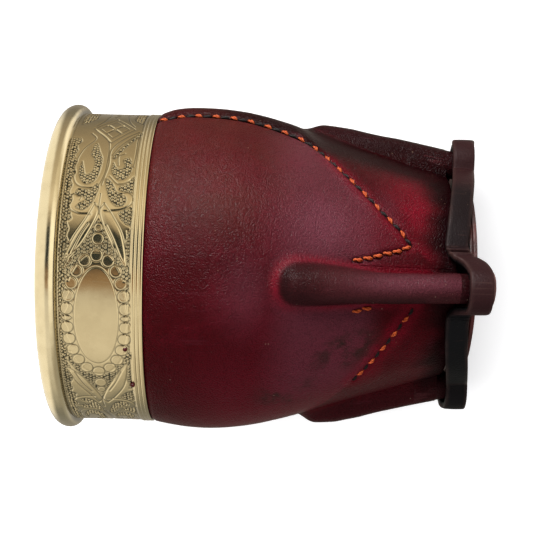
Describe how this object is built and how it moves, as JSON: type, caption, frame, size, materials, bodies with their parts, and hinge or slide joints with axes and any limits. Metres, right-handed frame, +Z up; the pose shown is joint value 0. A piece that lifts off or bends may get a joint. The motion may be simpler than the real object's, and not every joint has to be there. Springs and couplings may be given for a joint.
{
  "type": "leather-covered gourd cup",
  "caption": "Gourd drinking cup in a stitched leather cover, with an engraved metal collar and rolled leather feet held by a strap.",
  "frame": {"origin": "on the ground plane under the middle of the cup, at the ends of the feet", "axes": "+Z up through the mouth; the front foot is towards -Y and the stitched side seam is towards +X"},
  "size_m": [0.0864, 0.0864, 0.11],
  "materials": {
    "gourd": "matte, dried gourd",
    "lip_metal": "polished nickel silver",
    "band_metal": "polished nickel silver, chased and stippled, darkened in the recesses",
    "liner_metal": "satin nickel silver",
    "reed_metal": "polished nickel silver",
    "tack": "tarnished",
    "cover_leather": "smooth burnished, dark cherry",
    "raw_leather": "undyed cut edge",
    "strap_leather": "smooth, dark brown",
    "sole_leather": "cut edge, reddish brown",
    "orange_thread": "waxed, twisted",
    "black_thread": "waxed, twisted"
  },
  "bodies": {
    "root": {"gourd_shell": "gourd", "rolled_lip": "lip_metal", "engraved_band": "band_metal", "mouth_liner": "liner_metal", "reeded_edge": "reed_metal", "collar_tacks": "tack", "front_cover": "cover_leather", "back_cover": "cover_leather", "front_foot_core": "raw_leather", "right_foot_core": "raw_leather", "back_foot_core": "raw_leather", "left_foot_core": "raw_leather", "base_strap": "strap_leather", "sole_plate": "sole_leather", "front_orange_thread": "orange_thread", "back_orange_thread": "orange_thread", "front_black_thread": "black_thread", "back_black_thread": "black_thread"}
  },
  "joints": []
}
